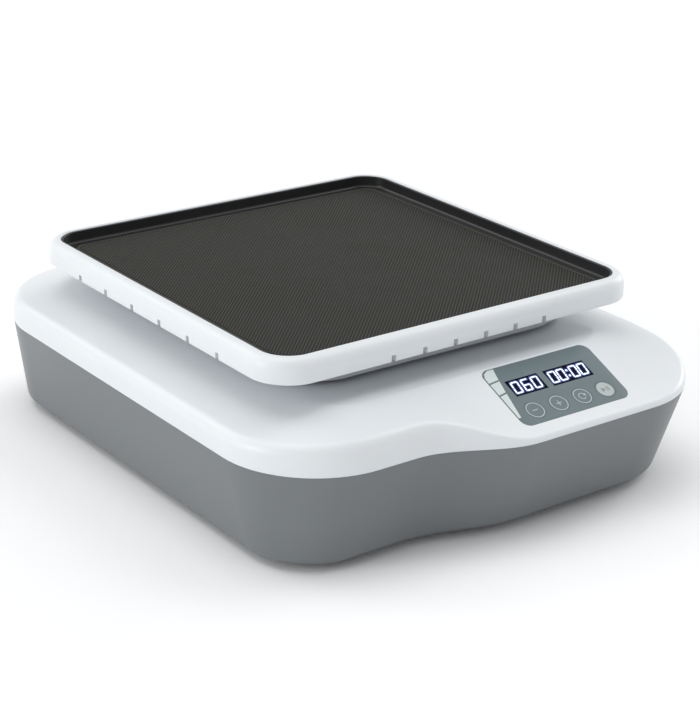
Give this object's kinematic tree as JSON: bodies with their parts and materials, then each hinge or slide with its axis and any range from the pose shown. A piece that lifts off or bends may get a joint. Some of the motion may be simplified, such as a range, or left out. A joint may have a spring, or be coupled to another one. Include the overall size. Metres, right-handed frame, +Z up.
{
  "type": "orbital shaker",
  "caption": "bench orbital shaker: square tray with a ribbed non-slip mat carried in a circle by an eccentric belt drive, grey case, white cover and a sloping control panel",
  "frame": {"origin": "on the bench plane under the middle of the body", "axes": "+Z up, -Y to the front, +X to the right as seen from the front"},
  "size_m": [0.289, 0.351, 0.1115],
  "materials": {
    "case_grey": "fine grained moulding",
    "cover_white": "smooth satin moulding",
    "rubber_black": "matte",
    "screw_steel": "zinc plated",
    "sheet_steel": "zinc plated sheet",
    "brass": "machined",
    "cast_alloy": "machined",
    "bearing_steel": "ground",
    "turned_steel": "turned",
    "pulley_black": "moulded",
    "motor_black": "satin",
    "belt_rubber": "matte",
    "carrier_grey": "fine grained moulding",
    "liner_black": "smooth",
    "mat_rubber": "fine ribbed",
    "panel_film": "printed polyester film",
    "window_black": "tinted clear plastic",
    "display_black": "gloss",
    "key_light": "printed polyester film",
    "board_green": "solder resist",
    "switch_black": "moulded",
    "nylon": "natural",
    "ribbon_grey": "smooth",
    "sensor_blue": "moulded"
  },
  "bodies": {
    "base": {"lower_case": "case_grey", "top_cover": "cover_white", "feet": "rubber_black", "case_screws": "screw_steel", "deck_plate": "sheet_steel", "deck_pillars": "brass", "deck_screws": "screw_steel", "drive_housing": "cast_alloy", "drive_bearings": "bearing_steel", "motor": "motor_black", "motor_screws": "screw_steel", "drive_belt": "belt_rubber", "idler_housings": "cast_alloy", "idler_bearings": "bearing_steel", "housing_screws": "screw_steel", "panel_film": "panel_film", "speed_window": "window_black", "time_window": "window_black", "speed_display": "display_black", "time_display": "display_black", "control_board": "board_green", "board_screws": "screw_steel", "tact_switches": "switch_black", "driver_board": "board_green", "driver_posts": "nylon", "ribbon_cable": "ribbon_grey", "speed_sensor": "sensor_blue", "power_inlet": "switch_black", "switch_bezel": "switch_black"},
    "drive_crank": {"drive_shaft": "turned_steel", "drive_pulley": "pulley_black", "crank_arm": "cast_alloy", "drive_pin": "turned_steel", "counterweight": "brass", "counterweight_screws": "screw_steel"},
    "platform": {"carrier": "carrier_grey", "carrier_bearings": "bearing_steel", "tray_screws": "screw_steel", "tray_frame": "cover_white", "tray_liner": "liner_black", "grip_mat": "mat_rubber"},
    "motor_rotor": {"motor_shaft": "turned_steel", "motor_pulley": "cast_alloy"},
    "front_left_crank": {"idler_crank_front_left": "turned_steel"},
    "back_left_crank": {"idler_crank_back_left": "turned_steel"},
    "front_right_crank": {"idler_crank_front_right": "turned_steel"},
    "back_right_crank": {"idler_crank_back_right": "turned_steel"},
    "minus_button": {"minus_key": "panel_film"},
    "plus_button": {"plus_key": "panel_film"},
    "mode_button": {"mode_key": "panel_film"},
    "start_stop_button": {"start_stop_key": "key_light"},
    "switch_rocker": {"power_rocker": "switch_black"}
  },
  "joints": [
    {"name": "drive_turn", "type": "hinge", "parent": "base", "child": "drive_crank", "pos_m": [0, 0.0175, 0.05], "axis": [0, 0, 1], "continuous": true},
    {"name": "platform_turn", "type": "hinge", "parent": "drive_crank", "child": "platform", "pos_m": [0, 0.0075, 0.09], "axis": [0, 0, 1], "continuous": true},
    {"name": "motor_turn", "type": "hinge", "parent": "base", "child": "motor_rotor", "pos_m": [0, 0.1175, 0.05], "axis": [0, 0, 1], "continuous": true},
    {"name": "front_left_turn", "type": "hinge", "parent": "base", "child": "front_left_crank", "pos_m": [-0.075, -0.0525, 0.05], "axis": [0, 0, 1], "continuous": true},
    {"name": "back_left_turn", "type": "hinge", "parent": "base", "child": "back_left_crank", "pos_m": [-0.075, 0.0875, 0.05], "axis": [0, 0, 1], "continuous": true},
    {"name": "front_right_turn", "type": "hinge", "parent": "base", "child": "front_right_crank", "pos_m": [0.075, -0.0525, 0.05], "axis": [0, 0, 1], "continuous": true},
    {"name": "back_right_turn", "type": "hinge", "parent": "base", "child": "back_right_crank", "pos_m": [0.075, 0.0875, 0.05], "axis": [0, 0, 1], "continuous": true},
    {"name": "minus_press", "type": "slide", "parent": "base", "child": "minus_button", "axis": [0, 0.4019, -0.9157], "range_m": [0, 0.0005], "stiffness_N_per_m": 400},
    {"name": "plus_press", "type": "slide", "parent": "base", "child": "plus_button", "axis": [0, 0.4019, -0.9157], "range_m": [0, 0.0005], "stiffness_N_per_m": 400},
    {"name": "mode_press", "type": "slide", "parent": "base", "child": "mode_button", "axis": [0, 0.4019, -0.9157], "range_m": [0, 0.0005], "stiffness_N_per_m": 400},
    {"name": "start_stop_press", "type": "slide", "parent": "base", "child": "start_stop_button", "axis": [0, 0.4019, -0.9157], "range_m": [0, 0.0005], "stiffness_N_per_m": 400},
    {"name": "power_rock", "type": "hinge", "parent": "base", "child": "switch_rocker", "pos_m": [-0.03, 0.17031, 0.03], "axis": [1, 0, 0], "range_deg": [-16, 0]}
  ],
  "couplings": [
    {"joint": "platform_turn", "follows": "drive_turn", "ratio": -1},
    {"joint": "motor_turn", "follows": "drive_turn", "ratio": 4},
    {"joint": "front_left_turn", "follows": "drive_turn", "ratio": 1},
    {"joint": "back_left_turn", "follows": "drive_turn", "ratio": 1},
    {"joint": "front_right_turn", "follows": "drive_turn", "ratio": 1},
    {"joint": "back_right_turn", "follows": "drive_turn", "ratio": 1}
  ]
}
